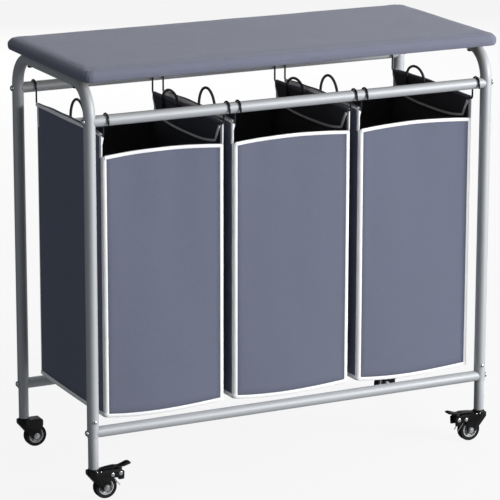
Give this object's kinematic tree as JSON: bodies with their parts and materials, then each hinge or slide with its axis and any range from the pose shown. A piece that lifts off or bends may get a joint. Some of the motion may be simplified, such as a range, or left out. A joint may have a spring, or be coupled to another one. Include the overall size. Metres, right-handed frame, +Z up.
{
  "type": "laundry sorter",
  "caption": "Wheeled laundry sorter: tube frame with hanging lift-off fabric bags under a padded flat board, on swivel casters with foot brakes at the front.",
  "frame": {"origin": "on the floor, at the centre of the sorter's bounding box", "axes": "+X along the board towards the right-hand end frame, +Y from the front rails (braked casters) to the rear rails, +Z up"},
  "size_m": [0.977, 0.435, 0.922],
  "materials": {
    "silver_tube": "silver-grey powder coat, satin",
    "zinc": "bright zinc plating",
    "black_steel": "black oxide",
    "black_wire": "glossy black coating",
    "black_plastic": "moulded, satin",
    "hub_plastic": "moulded grey",
    "tyre_rubber": "smooth tread",
    "bag_fabric": "woven polyester, grey outside, with white binding",
    "cord": "braided round cord",
    "pad_fabric": "grey padded cover",
    "particle_board": "raw pressed board"
  },
  "bodies": {
    "frame": {"left_end_frame": "silver_tube", "right_end_frame": "silver_tube", "front_upper_rail": "silver_tube", "front_upper_left_bolt": "zinc", "front_upper_right_bolt": "zinc", "front_lower_rail": "silver_tube", "front_lower_left_bolt": "zinc", "front_lower_right_bolt": "zinc", "front_left_leg": "silver_tube", "front_left_board_screw": "black_steel", "front_right_leg": "silver_tube", "front_right_board_screw": "black_steel", "rear_upper_rail": "silver_tube", "rear_upper_left_bolt": "zinc", "rear_upper_right_bolt": "zinc", "rear_lower_rail": "silver_tube", "rear_lower_left_bolt": "zinc", "rear_lower_right_bolt": "zinc", "rear_left_leg": "silver_tube", "rear_left_board_screw": "black_steel", "rear_right_leg": "silver_tube", "rear_right_board_screw": "black_steel", "board_core": "particle_board", "board_pad": "pad_fabric"},
    "left_bag_set": {"left_bag": "bag_fabric", "left_bag_left_rod": "black_wire", "left_bag_left_handle": "cord", "left_bag_right_rod": "black_wire", "left_bag_right_handle": "cord"},
    "middle_bag_set": {"middle_bag": "bag_fabric", "middle_bag_left_rod": "black_wire", "middle_bag_left_handle": "cord", "middle_bag_right_rod": "black_wire", "middle_bag_right_handle": "cord"},
    "right_bag_set": {"right_bag": "bag_fabric", "right_bag_left_rod": "black_wire", "right_bag_left_handle": "cord", "right_bag_right_rod": "black_wire", "right_bag_right_handle": "cord"},
    "front_left_caster": {"front_left_caster_fork": "black_plastic", "front_left_axle": "zinc", "front_left_brake_pin": "zinc"},
    "front_left_wheel": {"front_left_wheel_hub": "hub_plastic", "front_left_tyre": "tyre_rubber"},
    "front_left_brake": {"front_left_brake_pedal": "black_plastic"},
    "front_right_caster": {"front_right_caster_fork": "black_plastic", "front_right_axle": "zinc", "front_right_brake_pin": "zinc"},
    "front_right_wheel": {"front_right_wheel_hub": "hub_plastic", "front_right_tyre": "tyre_rubber"},
    "front_right_brake": {"front_right_brake_pedal": "black_plastic"},
    "rear_left_caster": {"rear_left_caster_fork": "black_plastic", "rear_left_axle": "zinc"},
    "rear_left_wheel": {"rear_left_wheel_hub": "hub_plastic", "rear_left_tyre": "tyre_rubber"},
    "rear_right_caster": {"rear_right_caster_fork": "black_plastic", "rear_right_axle": "zinc"},
    "rear_right_wheel": {"rear_right_wheel_hub": "hub_plastic", "rear_right_tyre": "tyre_rubber"}
  },
  "joints": [
    {"name": "left_bag_lift", "type": "slide", "parent": "frame", "child": "left_bag_set", "axis": [0, 0, 1], "range_m": [0, 0.04]},
    {"name": "middle_bag_lift", "type": "slide", "parent": "frame", "child": "middle_bag_set", "axis": [0, 0, 1], "range_m": [0, 0.04]},
    {"name": "right_bag_lift", "type": "slide", "parent": "frame", "child": "right_bag_set", "axis": [0, 0, 1], "range_m": [0, 0.04]},
    {"name": "front_left_swivel", "type": "hinge", "parent": "frame", "child": "front_left_caster", "pos_m": [-0.468, -0.1935, 0.068], "axis": [0, 0, 1], "continuous": true},
    {"name": "front_left_wheel_spin", "type": "hinge", "parent": "front_left_caster", "child": "front_left_wheel", "pos_m": [-0.4425, -0.1935, 0.025], "axis": [0, 1, 0], "continuous": true},
    {"name": "front_left_brake_press", "type": "hinge", "parent": "front_left_caster", "child": "front_left_brake", "pos_m": [-0.411, -0.1935, 0.053], "axis": [0, 1, 0], "range_deg": [0, 12]},
    {"name": "front_right_swivel", "type": "hinge", "parent": "frame", "child": "front_right_caster", "pos_m": [0.468, -0.1935, 0.068], "axis": [0, 0, 1], "continuous": true},
    {"name": "front_right_wheel_spin", "type": "hinge", "parent": "front_right_caster", "child": "front_right_wheel", "pos_m": [0.4425, -0.1935, 0.025], "axis": [0, 1, 0], "continuous": true},
    {"name": "front_right_brake_press", "type": "hinge", "parent": "front_right_caster", "child": "front_right_brake", "pos_m": [0.411, -0.1935, 0.053], "axis": [0, -1, 0], "range_deg": [0, 12]},
    {"name": "rear_left_swivel", "type": "hinge", "parent": "frame", "child": "rear_left_caster", "pos_m": [-0.468, 0.1935, 0.068], "axis": [0, 0, 1], "continuous": true},
    {"name": "rear_left_wheel_spin", "type": "hinge", "parent": "rear_left_caster", "child": "rear_left_wheel", "pos_m": [-0.4425, 0.1935, 0.025], "axis": [0, 1, 0], "continuous": true},
    {"name": "rear_right_swivel", "type": "hinge", "parent": "frame", "child": "rear_right_caster", "pos_m": [0.468, 0.1935, 0.068], "axis": [0, 0, 1], "continuous": true},
    {"name": "rear_right_wheel_spin", "type": "hinge", "parent": "rear_right_caster", "child": "rear_right_wheel", "pos_m": [0.4425, 0.1935, 0.025], "axis": [0, 1, 0], "continuous": true}
  ]
}
